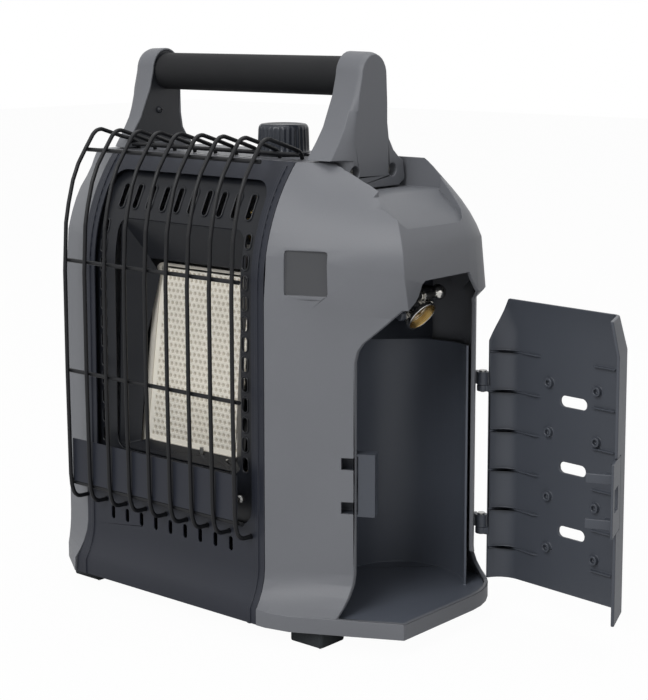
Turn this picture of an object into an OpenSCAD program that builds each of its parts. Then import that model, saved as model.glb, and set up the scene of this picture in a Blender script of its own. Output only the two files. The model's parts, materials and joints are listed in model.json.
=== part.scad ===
// Portable propane heater: burner section, cylinder bay with a hinged door and a carrying handle.
// Origin: middle of the casing's footprint, on the floor. X to the bay side, Y to the back, Z up.

/* [Casing] */
// Distance from the middle to the wall on the burner side
casing_left = 167; // [165:1:169]
// Distance from the middle to the wall of the cylinder bay
casing_right = 158; // [156:1:160]
// Distance from the middle to the burner front
casing_front = 82.5; // [80:0.5:85]
// Distance from the middle to the back
casing_back = 93; // [91:1:96]
// Height of the deck above the floor
deck_z = 354.5; // [352:0.5:357]
// Radius of the two rear corners
rear_radius = 61; // [60:1:64]
// Wall of the moulded halves
wall = 3; // [2.4:0.2:3.4]
// Height at which the shoulder starts to round over
shoulder_z = 275; // [270:1:280]
// Height of the crease above the cylinder door
waist_z = 250; // [248:1:252]
// How far the wall stands out above the crease
bulge = 5; // [3:0.5:6]
// Height of the underside
base_z = 13; // [12:0.5:14]

/* [Front panel] */
// Width of the sheet front
panel_w = 194; // [192:1:196]
// Middle of the sheet front
panel_x = -34.5; // [-35:0.5:-34]
// Radius of the curved top of the front
front_radius = 138; // [136:1:140]
// Height at which that curve starts
curve_z = 262; // [260:1:264]
// Thickness of the painted sheet
sheet = 1.5; // [1:0.1:1.8]
// Slots in the bottom edge of the front
low_slot_count = 9; // [5:1:10]
// Slots above the burner
top_slot_count = 10; // [6:1:10]
// Slots in each side column
side_slot_count = 12; // [8:1:12]

/* [Burner] */
// Width of the ceramic plate's frame
frame_w = 113; // [110:1:115]
// Height of that frame
frame_h = 151; // [148:1:152]
// Lean of the burner, top to the back
burner_lean = 7.6; // [7:0.2:8.2]
// Thickness of the ceramic plate
tile_t = 13; // [10:1:14]

/* [Guard] */
// Diameter of the guard wire
wire_d = 3.3; // [2.8:0.1:3.6]
// Number of upright wires
wire_count = 9; // [7:1:9]
// Distance between upright wires
wire_pitch = 22.6; // [22:0.1:23]
// Distance of the guard in front of the middle
guard_y = 100; // [98:0.5:102]

/* [Handle] */
// Diameter of the foam grip
grip_d = 30; // [28:0.5:32]
// Height of the grip's axis
grip_z = 416.8; // [415:0.2:419]
// Position of the grip's axis from front to back
grip_y = 11; // [10.5:0.1:11.5]
// Width of the right post
post_w = 25; // [24:0.5:26]
// Width of the left post
left_post_w = 20.2; // [19.6:0.1:20.6]
// Gap between the two posts
grip_len = 195.8; // [195.2:0.1:196.4]

/* [Door] */
// Thickness of the door skin
door_t = 2.5; // [2:0.1:2.8]
// Underside of the door
door_low = 27; // [26.5:0.5:28]
// Top of the door
door_high = 249; // [247:0.5:249]
// Rest angle, from closed
door_open = 84; // [60:1:90]
// Length of the three vent slots
door_slot_l = 25; // [20:1:28]

/* [Regulator] */
// Radius of the thread that the cylinder screws into
inlet_r = 12.05; // [11.9:0.05:12.2]
// Outer radius of the barrel
barrel_r = 13.6; // [13.4:0.1:13.8]
// Swing of the mouth away from hanging straight
swing = 52.7; // [40:0.1:55]
// Radius of the pin that it swings on
pin_r = 2.4; // [2:0.1:2.4]

/* [Control knob] */
// Diameter of the knob
knob_d = 41; // [39:0.5:42]
// Travel of the knob when pushed
knob_push = 4; // [3:0.5:4]
// Radius of the valve spindle
stem_r = 3; // [2.8:0.1:3.2]

/* [Feet] */
// Width of a foot
foot_w = 31; // [29:1:33]
// Depth of a foot
foot_d = 28; // [26:1:30]

/* [Hidden] */
$fn = 64;
gap = 0.3;
eps = 0.01;
panel_l = panel_x - panel_w / 2;
panel_r = panel_x + panel_w / 2;
curve_y = front_radius - casing_front;
rim_z = 25;
flare_z = 54;
bulge_z = 289;
left_z = 318;
deck_front = -22.7;
bay_x = 50;
bay_low = 21;
bay_top = 217.5;
hinge = [148, 75];
ball = [123, 32, 252.5];
barrel_x = -14.3;
knob_at = [7, 3];
knob_z = 356;
post_in = 66.5;
left_in = post_in - grip_len;
pocket_z = 332;
chamfer_turn = 28.3;
latch_hole = [118, -52.6];
shell_grey = [0.46, 0.47, 0.48];
post_grey = [0.48, 0.49, 0.5];
slate = [0.2, 0.22, 0.25];
dark = [0.12, 0.13, 0.15];
black = [0.08, 0.08, 0.09];
steel = [0.72, 0.72, 0.72];
brass = [0.75, 0.62, 0.35];

function lerp(a, b, t) = a + (b - a) * t;
function arc(cx, cy, r, from, to, steps) =
    [for (i = [0:steps]) let (a = lerp(from, to, i / steps)) [cx + r * cos(a), cy + r * sin(a)]];
function ellipse_arc(cx, cy, rx, ry, from, to, steps) =
    [for (i = [0:steps]) let (a = lerp(from, to, i / steps)) [cx + rx * cos(a), cy + ry * sin(a)]];
function raised(line, z) = [for (p = line) [p[0], p[1], z]];
function blend(a, b, t) = [for (i = [0:len(a) - 1]) lerp(a[i], b[i], t)];
function reversed(a) = [for (i = [len(a) - 1:-1:0]) a[i]];

// Closed skin through rings with equal numbers of points; caps lists the faces of an end
module loft(rings, caps = []) {
    n = len(rings[0]);
    m = len(rings);
    flat = len(caps) > 0 ? caps : [[for (i = [0:n - 1]) i]];
    sides = [for (k = [0:m - 2]) for (i = [0:n - 1]) let (j = (i + 1) % n)
        each [[k * n + i, (k + 1) * n + i, (k + 1) * n + j], [k * n + i, (k + 1) * n + j, k * n + j]]];
    ends = [for (face = flat) each [face, [for (i = reversed(face)) (m - 1) * n + i]]];
    polyhedron([for (ring = rings) each ring], concat(ends, sides), convexity = 8);
}

// Round bar of radius r along a path
module bar(path, r, sides = 10) {
    last = len(path) - 1;
    function heading(i) = let (a = path[max(i - 1, 0)], b = path[i], c = path[min(i + 1, last)],
        u = i == 0 ? c - b : b - a, v = i == last ? b - a : c - b,
        s = u / norm(u) + v / norm(v)) s / norm(s);
    function spread(i) = i == 0 || i == last ? 1 :
        let (u = path[i] - path[i - 1]) 1 / max(0.5, abs(u * heading(i)) / norm(u));
    function side_way(i) = let (h = heading(i), u = abs(h[0]) > 0.9 ? [0, 0, 1] : [1, 0, 0],
        s = cross(u, h)) s / norm(s);
    rings = [for (i = [0:last]) let (h = heading(i), s = side_way(i), t = cross(h, s))
        [for (k = [0:sides - 1]) let (a = 360 * k / sides)
            path[i] + r * (cos(a) * s * spread(i) + sin(a) * t)]];
    loft(rings);
}

// ---- casing ----
function shoulder(z) = z <= shoulder_z ? 0 :
    let (t = (z - shoulder_z) / (deck_z - shoulder_z)) 51 * pow(t, 2) + 7 * pow(t, 8);
function rear_round(z) = z <= shoulder_z ? 0 :
    let (t = (z - shoulder_z) / (deck_z - shoulder_z)) 51 * pow(t, 2) - 6 * pow(t, 8);
function left_round(z) = z <= left_z ? 0 : 13 * pow((z - left_z) / (deck_z - left_z), 2);
function front_round(z) = z <= curve_z ? 0 : front_radius - sqrt(pow(front_radius, 2) - pow(z - curve_z, 2));
function kick(z) = z >= flare_z ? 0 : z <= rim_z ? 1 : pow((flare_z - z) / (flare_z - rim_z), 2);
chamfer_marks = [0, 0.12, 0.33, 0.7, 1];

// Plan line of the upper casing, w below its skin: l, r, q and f are how far it has rounded in at the
// left, right, rear and front, and u is the share of the bulge
function body_line(l, r, q, f, u, w) = let (
        side = casing_right + bulge * u - r - w,
        corner_y = lerp(-31 + 0.66 * r + 0.6 * w, -44 + 0.69 * r + 0.69 * w, u),
        left_y = min(1.2 * f, 25.5) - 70,
        start = [panel_r - 0.25 * w, f + w - casing_front],
        rc = casing_right + bulge * u - rear_radius,
        back = casing_back - rear_radius,
        rear_r = rear_radius - q - w)
    concat([[panel_l + 0.25 * w, f + w - casing_front]],
        [for (t = chamfer_marks) lerp(start, [side, corner_y], t)],
        arc(rc, back + 0.9 * bulge * u, rear_r, 0, 90, 8),
        ellipse_arc(rear_radius - casing_left, back, rear_radius - l - w, rear_r, 90, 180, 8),
        [[l + w - casing_left, left_y + 0.6 * w]]);

// Plan line of the rim round the base
function rim_line(w) = concat(
    [[panel_l - 4 + 0.25 * w, w - 94], [panel_r, w - 92.5], [panel_r + 10.5 - 0.2 * w, w - 92.3]],
    [[panel_r + 28.5 - 0.4 * w, w - 88], [133 - 0.3 * w, w - 65.7], [167 - w, 0.6 * w - 47.4]],
    arc(107, 39, 60 - w, 0, 90, 8), arc(-110, 39, 60 - w, 90, 180, 8), [[w - 170, 0.6 * w - 70.5]]);

function upper_line(z, u, w) =
    body_line(left_round(z), shoulder(z), rear_round(z), front_round(z), u, w);
function casing_line(z, w) = z >= flare_z ? upper_line(z, z > bulge_z ? 1 : 0, w) :
    blend(body_line(0, 0, 0, 0, 0, w), rim_line(w), kick(z));

// Heights of the plan points below and above the crease, which climbs towards the front
waist_heights = concat([waist_z], [for (t = chamfer_marks) waist_z + lerp(4, -6, t)],
    [for (i = [1:19]) waist_z]);
bulge_heights = concat([bulge_z], [for (t = chamfer_marks) bulge_z - 12 * t],
    [for (i = [1:9]) waist_z + 7], [for (i = [1:10]) bulge_z]);
lower_levels = [rim_z, 31, 38, 46, flare_z];
upper_levels = [296, 305, 314, 323, 332, 340, 346, 351];

// The casing's outside, w below its skin; low is under the flare or above the bulge
module casing_solid(w, low, high) {
    whole = low < flare_z;
    waist = [for (i = [0:24]) let (p = body_line(0, 0, 0, 0, 0, w)[i]) [p[0], p[1], waist_heights[i]]];
    full = [for (i = [0:24]) let (z = bulge_heights[i], p = upper_line(z, 1, w)[i]) [p[0], p[1], z]];
    below = [for (z = lower_levels) if (whole && z > low) z];
    above = [for (z = upper_levels) if (z > low && z < high) z];
    loft(concat([for (z = concat([low], below)) raised(casing_line(z, w), z)], whole ? [waist, full] : [],
        [for (z = concat(above, [high])) raised(casing_line(z, w), z)]));
}

// Room for the sheet front, seen from the front
module front_cut() {
    rotate([90, 0, 0]) translate([0, 0, -deck_front])
        linear_extrude(100) polygon([[panel_l - 5, base_z - 5], [panel_r + gap, base_z - 5],
            [panel_r + gap, 400], [panel_l - gap, 400], [panel_l - gap, flare_z]]);
}

module half_skin() {
    difference() {
        casing_solid(0, base_z, deck_z);
        casing_solid(wall, base_z - 3, deck_z - wall);
        front_cut();
    }
}

// Well that a handle post stands in, g larger all round, with the sloped recess beside it
module post_well(g) {
    slope = 0.862;
    end = 152.6 + g;
    floor_z = pocket_z - g * sqrt(1 + slope * slope);
    translate([62 - g, -26 - g, pocket_z - g]) cube([64.5 + 2 * g, 77 + 2 * g, 60]);
    intersection() {
        translate([0, 0, 300]) linear_extrude(100) polygon([[120, -34 - g], [146 + 0.4 * g, -34 - g],
            [150.5 + 0.8 * g, -32 - 0.7 * g], [end, -27 - 0.3 * g], [end, 36 + 0.3 * g],
            [151 + 0.9 * g, 41 + 0.5 * g], [146 + 0.4 * g, 46 + g], [120, 46 + g]]);
        translate([0, 60, 0]) rotate([90, 0, 0]) linear_extrude(110) polygon([[125 - g, floor_z],
            [160, floor_z - slope * 35], [160, 380], [125 - g, 380]]);
    }
}

module left_well(g) {
    translate([-152 - g, -26 - g, pocket_z - g]) cube([25 + 2 * g, 77 + 2 * g, 60]);
}

// Mouth of the cylinder bay: through the front corner, and through the side wall
module bay_opening() {
    low = rim_z + 0.2;
    translate([0, eps - 34, 0]) rotate([90, 0, 0]) linear_extrude(60)
        polygon([[122.3, low], [200, low], [200, 252.5], [155, 252.5], [147, 246], [136, 235],
            [127.6, 227], [124, 221], [122.3, 213]]);
    translate([110, 0, 0]) rotate([90, 0, 90]) linear_extrude(90)
        polygon([[-34, low], [76.3, low], [76.3, 37], [71.5, 47], [59, 51], [59, 239], [57.8, 246],
            [55.8, 250.5], [47, 258], [40.5, 267], [37, 273], [-19, 273], [-22.5, 271], [-25, 262],
            [-27.5, 258], [-34, 252.5]]);
}

module on_badge() {
    translate([91.4, -68.4, 276.8]) rotate([-2.5, 0, 23]) children();
}

module on_chamfer() {
    translate([latch_hole[0], latch_hole[1], 0]) rotate([0, 0, chamfer_turn]) children();
}

module left_shell() {
    color(shell_grey) difference() {
        union() {
            half_skin();
            intersection() {
                casing_solid(0, 300, deck_z);
                left_well(wall);
            }
        }
        translate([panel_x - 0.15, -150, 0]) cube([300, 300, 400]);
        left_well(0);
        for (x = [-124:9:-52]) {
            translate([x, 80, 70]) cube([4, 30, 60]);
            translate([x, 80, 200]) cube([4, 30, 40]);
        }
        for (x = [-146, -134]) translate([x, grip_y + 30, 325]) cylinder(r = 2.2, h = 20);
    }
}

module right_shell() {
    badge = 33;
    color(shell_grey) difference() {
        union() {
            half_skin();
            intersection() {
                casing_solid(0, 300, deck_z);
                post_well(wall);
            }
            on_badge() translate([-badge / 2 - 2.5, 1.6, -badge / 2 - 2.5]) cube([badge + 5, 3.4, badge + 5]);
            translate([knob_at[0], knob_at[1], 346.5]) cylinder(r = 24.5, h = 7);
        }
        translate([panel_x + 0.15 - 300, -150, 0]) cube([300, 300, 400]);
        post_well(0);
        bay_opening();
        on_chamfer() for (z = [99.3, 132.4]) translate([-4.8, -6, z]) cube([9.6, 14, 9]);
        on_badge() translate([0, 2, 0]) rotate([90, 0, 0]) linear_extrude(12)
            rounded_outline(-badge / 2, badge / 2, -badge / 2, badge / 2, 2.5);
        translate([knob_at[0], knob_at[1], knob_z - knob_push - 2.5]) cylinder(r = 22.5, h = 10);
        translate([knob_at[0], knob_at[1], 340]) cylinder(r = 9.5, h = 20);
        for (x = [-10:9:62]) translate([x, 80, 70]) cube([4, 30, 60]);
    }
}

module base_pan() {
    color(dark) translate([0, 0, base_z + 0.1]) difference() {
        linear_extrude(3) polygon([for (p = rim_line(wall + gap)) [p[0], max(p[1], -87.5)]]);
        for (x = [-120:20:20]) for (y = [-40:20:40]) translate([x, y, -1]) cylinder(r = 3, h = 6);
        for (p = foot_places) translate([p[0], p[1], -1]) cylinder(r = 2.2, h = 6);
    }
}

// ---- cylinder bay ----
// Plan line of the bay's left and rear walls, g outside their inner face, then of the rear right corner
function bay_back(g) = concat([[bay_x + 2 - g, -70]], arc(bay_x + 49, 36, 47 + g, 180, 90, 12));
function bay_line(g) = concat(bay_back(g), arc(bay_x + 50, 32, 51 + g, 90, 31, 8));

module bay_wall(low, high) {
    translate([0, 0, low]) linear_extrude(high - low)
        polygon(concat(bay_line(2), reversed(bay_line(0))));
}

// Under side of the bay's sloped ceiling
module on_ceiling() {
    translate([bay_x + 2, 0, bay_top]) rotate([-7.7, -1.7, 0]) children();
}

module bay_liner() {
    color(slate) {
        difference() {
            bay_wall(bay_low, bay_top + 12);
            on_ceiling() translate([-100, -200, 0]) cube([400, 400, 100]);
        }
        intersection() {
            translate([0, 0, bay_low]) linear_extrude(2) polygon(rim_line(wall + gap));
            translate([bay_x, -71, 0]) cube([150, 300, 60]);
        }
    }
}

module bay_ceiling() {
    riser_x = 90;
    roof_z = 274;
    color(dark) difference() {
        union() {
            on_ceiling() translate([-bay_x - 2, 0, gap]) linear_extrude(2)
                polygon(concat([for (p = bay_back(2)) if (p[0] < riser_x + 2) p],
                    [[riser_x + 2, 84.4], [riser_x + 2, -55], [70, -70]]));
            difference() {
                translate([riser_x, -55, bay_top - 20]) cube([2, 140, roof_z - bay_top + 20]);
                on_ceiling() translate([-100, -200, gap - 100]) cube([400, 400, 100]);
            }
            intersection() {
                casing_solid(wall + gap, base_z, deck_z - wall - gap);
                translate([riser_x, -200, roof_z]) cube([100, 400, 2]);
            }
        }
        translate([riser_x - 5, 50, ball[2]]) rotate([0, 90, 0]) cylinder(r = 7, h = 12);
        on_badge() translate([-20, 0, -20]) cube([40, 5.6, 40]);
    }
}

module latch_receiver() {
    color(slate) on_chamfer() difference() {
        translate([-10, wall + gap, 97]) cube([30, 12, 47]);
        translate([-7, wall - 1, 98.8]) cube([14, 11, 43.2]);
    }
}

// ---- sheet front ----
// Side line of the front, b behind its face, from low to high
function front_line(b, low, high) = concat(
    [for (z = [base_z, rim_z, 31, 38, 46, flare_z]) if (z >= low) [b - casing_front - 9.5 * kick(z), z]],
    low > flare_z ? [[b - casing_front, low]] : [],
    [for (i = [0:14]) let (r = front_radius - b, a = lerp(0, asin((high - curve_z) / r), i / 14))
        [curve_y - r * cos(a), curve_z + r * sin(a)]]);

module front_sheet(x, w, b, t, low, high) {
    translate([x, 0, 0]) rotate([90, 0, 90]) linear_extrude(w)
        polygon(concat(front_line(b, low, high), reversed(front_line(b + t, low, high))));
}

module rounded_outline(x1, x2, z1, z2, r) {
    polygon(concat(arc(x2 - r, z2 - r, r, 0, 90, 6), arc(x1 + r, z2 - r, r, 90, 180, 6),
        arc(x1 + r, z1 + r, r, 180, 270, 6), arc(x2 - r, z1 + r, r, 270, 360, 6)));
}

module rounded_cut(x1, x2, z1, z2, r) {
    translate([0, 50, 0]) rotate([90, 0, 0]) linear_extrude(200) rounded_outline(x1, x2, z1, z2, r);
}

module slot_cut(x, z, w, h) {
    rounded_cut(x - w / 2, x + w / 2, z - h / 2, z + h / 2, min(w, h) / 2 - eps);
}

module front_panel() {
    bead_w = 3;
    color(dark) difference() {
        intersection() {
            union() {
                front_sheet(panel_l - 4, panel_w + 4, 0, sheet, base_z, 354.8);
                for (x = [panel_l, panel_r - sheet]) front_sheet(x, sheet, sheet, 9, flare_z, 350);
                for (x = [panel_l + 5, panel_r - 5 - bead_w]) front_sheet(x, bead_w, -1, 1, base_z, 352);
            }
            rotate([90, 0, 0]) translate([0, 0, 10]) linear_extrude(100)
                polygon([[panel_l - 4, base_z - 1], [panel_r, base_z - 1], [panel_r, 400], [panel_l, 400],
                    [panel_l, flare_z]]);
        }
        rounded_cut(panel_x - 84.5, panel_x + 84.5, 83, 341, 14);
        for (i = [0:low_slot_count - 1])
            slot_cut(panel_x - 66.8 + 16.2 * i, 66.5, 4, 11);
        for (i = [0:wire_count - 1]) translate([guard_x(i), -70, 76]) rotate([90, 0, 0])
            cylinder(d = wire_d + 0.4, h = 30);
    }
}

module slotted_plate() {
    back = 5.5;
    t = 1.2;
    color(dark) difference() {
        front_sheet(panel_x - 90, 180, back, t, 77, 347);
        rounded_cut(panel_x - 66.5, panel_x + 69, 119, 304, 10);
        for (i = [0:top_slot_count - 1])
            slot_cut(panel_x + 15.2 * (i - (top_slot_count - 1) / 2), 320.7, 5.5, 19);
        for (i = [0:side_slot_count - 1]) for (x = [panel_x - 80, panel_x + 73.5])
            slot_cut(x, 128 + 15.3 * i, 5.6, 11.2);
    }
}

module top_louvre() {
    y = -44.2;
    depth = 21.2;
    color(dark) difference() {
        translate([panel_l, y, deck_z - 3]) cube([panel_w, depth, 3]);
        for (x = [panel_l + 8:11:panel_r - 8]) translate([x, y + 3, deck_z - 4]) cube([3, depth - 6, 5]);
        left_well(wall + gap);
        post_well(wall + gap);
    }
}

// ---- burner ----
module on_burner() {
    translate([panel_x + 1, -62, 117]) rotate([-burner_lean, 0, 0]) children();
}

function ring4(x1, x2, y1, z1, y2, z2) = [[x1, y1, z1], [x2, y1, z1], [x2, y2, z2], [x1, y2, z2]];

module reflector() {
    t = 0.8;
    wide = ring4(panel_x - 66.3, panel_x + 68.8, -75.3, 119.2, -69.4, 303.8);
    narrow = ring4(panel_x + 1 - 48, panel_x + 1 + 48, -62.5, 126, -45.5, 258);
    inside_wide = ring4(panel_x - 66.3 + t, panel_x + 68.8 - t, -75.9, 119.2 + t, -70.4, 303.8 - t);
    inside_narrow = ring4(panel_x + 1 - 48 + t, panel_x + 1 + 48 - t, -61.5, 126 + t, -44.5, 258 - t);
    color(dark) difference() {
        loft([reversed(wide), reversed(narrow)]);
        loft([reversed(inside_wide), reversed(inside_narrow)]);
        translate([9, -65.5, 118]) cylinder(r = 1.2, h = 12);
        translate([-18, -65.5, 118]) cylinder(r = 2.1, h = 12);
    }
}

module tile_frame() {
    half = frame_w / 2;
    color(steel) on_burner() translate([0, 16, 0]) rotate([90, 0, 0]) difference() {
        linear_extrude(16) rounded_outline(-half, half, 0, frame_h, 8);
        translate([0, 0, -1]) linear_extrude(15.8)
            rounded_outline(1.2 - half, half - 1.2, 1.2, frame_h - 1.2, 6.8);
        linear_extrude(20) rounded_outline(6 - half, half - 6, 9.5, frame_h - 9.5, 3);
        for (z = [5, frame_h - 5]) translate([0, 0, 10]) linear_extrude(10)
            rounded_outline(12 - half, half - 12, z - 2.6, z + 2.6, 2.5);
    }
}

module tile_clips() {
    color(steel) on_burner() for (x = [-48.5, 43.5]) for (z = [3, frame_h - 10])
        translate([x, -0.9, z]) cube([5, 0.8, 7]);
}

module ceramic_tile() {
    color([0.92, 0.89, 0.83]) on_burner()
        translate([-frame_w / 2 + 3.5, 1.3, 4]) cube([frame_w - 7, tile_t, frame_h - 8]);
}

module tile_gasket() {
    color([0.85, 0.85, 0.82]) on_burner() difference() {
        translate([-frame_w / 2 + 3.5, 1.35 + tile_t, 4]) cube([frame_w - 7, 1.5, frame_h - 8]);
        translate([-frame_w / 2 + 10, tile_t, 10]) cube([frame_w - 20, 5, frame_h - 20]);
    }
}

module burner_plenum() {
    front = 16.2;
    color(steel) on_burner() difference() {
        union() {
            translate([-frame_w / 2, front, 0]) cube([frame_w, 1.2, frame_h]);
            translate([-frame_w / 2 + 6, front, 8]) cube([frame_w - 12, 20, frame_h - 16]);
            translate([20, front + 20, 12]) cylinder(r = 12, h = 100);
            translate([20, front + 20, 0]) cylinder(r = 8, h = 14);
        }
        translate([-frame_w / 2 + 7.2, front - 1, 9.2]) cube([frame_w - 14.4, 19.8, frame_h - 18.4]);
        translate([20, front + 20, 14]) cylinder(r = 10.8, h = 90);
        translate([20, front + 20, -1]) cylinder(r = 6.8, h = 20);
    }
}

module heat_shield() {
    color(steel) difference() {
        translate([panel_x - 72, 6, 100]) cube([144, 1, 180]);
        for (x = [-40, 0, 40]) for (z = [120, 265])
            translate([panel_x + x, 10, z]) rotate([90, 0, 0]) cylinder(r = 5, h = 10);
    }
}

module injector() {
    color(brass) on_burner() translate([20, 36.2, -16]) difference() {
        union() {
            cylinder(r = 6.6, h = 9, $fn = 6);
            translate([0, 0, 9]) cylinder(r = 3.2, h = 9);
        }
        translate([0, 0, -1]) cylinder(r = 2.6, h = 16);
        cylinder(r = 0.4, h = 20);
    }
}

// ---- wire guard ----
function guard_x(i) = panel_x - 6.7 + wire_pitch * (i - (wire_count - 1) / 2);

// Side line of an upright wire, from the foot of the guard up and over to the deck
guard_front = [[-82.4, 76], [-92, 76.4], [-96.5, 79.5], [-99, 87], [-guard_y, 97], [-guard_y - 1.5, 180],
    [-guard_y - 2, 262], [-guard_y, 300], [-97, 315], [-92, 333], [-86, 346], [-77.6, 358],
    [-70, 368.3], [-66, 371.5], [-61, 372.2], [-40, 365.6]];
guard_rear = [[-34, 363.6], [-28, 361.6], [-23.5, 358.5], [-23.2, 354.9]];

// The first wire bends in beside the left post
function guard_path(i) = concat([for (p = guard_front) [guard_x(i), p[0], p[1]]],
    [for (p = guard_rear) [guard_x(i) + (i == 0 ? 4.2 : 0), p[0], p[1]]]);

module wire_guard() {
    r = wire_d / 2;
    long = wire_pitch * (wire_count - 1) + 8;
    color(black) {
        for (i = [0:wire_count - 1]) bar(guard_path(i), r, 8);
        for (p = [[-95.82, 89], [2 * r - 101.47, 181], [2 * r - 101.52, 270], [-74.57, 356.4]])
            translate([guard_x(0) - 4, p[0], p[1]]) rotate([0, 90, 0]) cylinder(r = r, h = long, $fn = 24);
        translate([guard_x(0) + 4.1, -30, 358.65]) rotate([0, 90, 0])
            cylinder(r = r, h = long - 8.1, $fn = 24);
    }
}

module guard_plate() {
    low = 89 + wire_d / 2;
    color(dark) translate([guard_x(0), -97.55, low])
        cube([wire_pitch * (wire_count - 1), 0.8, 125.5 - low]);
}

// ---- gas train ----
module gas_valve() {
    color(brass) difference() {
        union() {
            translate([knob_at[0] - 16, knob_at[1] - 14, 292]) cube([32, 28, 32]);
            translate([knob_at[0], knob_at[1], 324]) cylinder(r = 9, h = 8);
            translate([knob_at[0] - 24, knob_at[1], 305]) rotate([0, 90, 0]) cylinder(r = 6, h = 10);
            translate([knob_at[0] + 14, knob_at[1], 305]) rotate([0, 90, 0]) cylinder(r = 6, h = 12);
            translate([knob_at[0] - 6, knob_at[1] - 20, 315]) rotate([-90, 0, 0]) cylinder(r = 4, h = 8);
        }
        translate([knob_at[0], knob_at[1], 310]) cylinder(r = stem_r + 0.05, h = 30);
        translate([knob_at[0] + 10, knob_at[1], 305]) rotate([0, 90, 0]) cylinder(r = 3.2, h = 20);
    }
}

module valve_spring() {
    turns = 4;
    steps = 14 * turns;
    color(steel) translate([knob_at[0], knob_at[1], 332.6])
        bar([for (i = [0:steps]) let (a = 360 * turns * i / steps)
            [6 * cos(a), 6 * sin(a), 0.5 + 9.6 * i / steps]], 0.5, 6);
}

module thrust_washer() {
    color(steel) translate([knob_at[0], knob_at[1], 343.6]) difference() {
        cylinder(r = 8, h = 1.6);
        translate([0, 0, -1]) cylinder(r = stem_r + 0.06, h = 4);
    }
}

module valve_stem() {
    color(steel) translate([knob_at[0], knob_at[1], 315]) cylinder(r = stem_r, h = 57);
}

module control_knob() {
    top = 379 - knob_z;
    r = knob_d / 2;
    flutes = 30;
    color(black) translate([knob_at[0], knob_at[1], knob_z]) difference() {
        union() {
            cylinder(r = r, h = 3.5);
            translate([0, 0, 3]) linear_extrude(top - 7) difference() {
                circle(r = r - 0.6);
                for (i = [0:flutes - 1]) rotate([0, 0, 360 * i / flutes]) translate([r, 0])
                    circle(r = 1.3, $fn = 16);
            }
            translate([0, 0, top - 4]) rotate_extrude() polygon(concat([[0, 0]],
                ellipse_arc(r - 6, 0, 4, 4, 0, 90, 6), [[0, 4.4]]));
            translate([0, 0, 345.4 - knob_z]) cylinder(r = 6.5, h = knob_z - 345.4 + 1);
        }
        translate([0, 0, 340 - knob_z]) cylinder(r = stem_r, h = 372 - 340);
    }
}

module igniter() {
    color(black) translate([knob_at[0] - 26, knob_at[1] + 14, 298]) {
        cylinder(r = 6, h = 34);
        translate([0, 0, -4]) cylinder(r = 3, h = 4.5);
    }
}

module gas_tube() {
    color(brass) bar([[-17, 3, 305], [-24, 3, 305], [-30, 4, 301], [-32, 6, 290], [-32, 20, 262],
        [-32, 22, 180], [-28, 20, 96], [-20, 8, 84], [-13.5, -18, 84], [-13.5, -28.4, 88],
        [-13.5, -28.4, 98]], 2.5);
}

module pilot_tube() {
    color(brass) bar([[1, -17.2, 315], [1, -22, 315], [2, -28, 311], [20, -30, 300], [34, -31, 270],
        [38, -32, 200], [38, -36, 110], [30, -50, 104], [2, -63, 103], [-2, -65, 106]], 1.5, 8);
}

module pilot_burner() {
    color(steel) difference() {
        union() {
            translate([-40, -63, 106]) cube([56, 1.5, 9]);
            translate([-2, -66, 106.5]) cylinder(r = 3.6, h = 15);
        }
        translate([-2, -66, 118]) cylinder(r = 2.4, h = 6);
        translate([-18, -60, 110]) rotate([90, 0, 0]) cylinder(r = 1.8, h = 8);
    }
}

module thermocouple() {
    color(steel) translate([-18, -65.5, 108]) {
        cylinder(r = 1.6, h = 22);
        translate([0, 0, 1]) cylinder(r = 2.4, h = 5);
    }
}

module electrode() {
    color([0.9, 0.9, 0.88]) translate([9, -65.5, 107]) {
        cylinder(r = 2.4, h = 12);
        cylinder(r = 0.8, h = 18);
    }
}

module gas_arm() {
    elbow_y = 50;
    color(steel) translate(ball) {
        translate([0, elbow_y - ball[1], 0]) sphere(r = 6.2);
        translate([0, -6.6, 0]) rotate([-90, 0, 0]) {
            cylinder(r = pin_r, h = elbow_y - ball[1] + 6.6);
            cylinder(r = 3.6, h = 1.8);
        }
        translate([-58, elbow_y - ball[1], 0]) rotate([0, 90, 0]) cylinder(r = 4.5, h = 58);
        translate([-58, elbow_y - ball[1], 0]) sphere(r = 6);
        translate([-58, elbow_y - ball[1], 0]) cylinder(r = 4.5, h = 52.5);
        translate([-58, elbow_y - ball[1], 52.5]) sphere(r = 6);
        translate([-58, 3 - ball[1], 52.5]) rotate([-90, 0, 0]) cylinder(r = 4.5, h = elbow_y - 3);
        translate([-58, 3 - ball[1], 52.5]) sphere(r = 6);
        translate([knob_at[0] + 21.1 - ball[0], 3 - ball[1], 52.5]) rotate([0, 90, 0])
            cylinder(r = 3.1, h = ball[0] - 58 - knob_at[0] - 21.1);
    }
}

module at_regulator() {
    translate(ball) rotate([0, -swing, 0]) children();
}

mouth_z = -9.5;
seat_z = -2.7;
boss_at = [barrel_x - 2.2, seat_z + 0.4];

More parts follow.
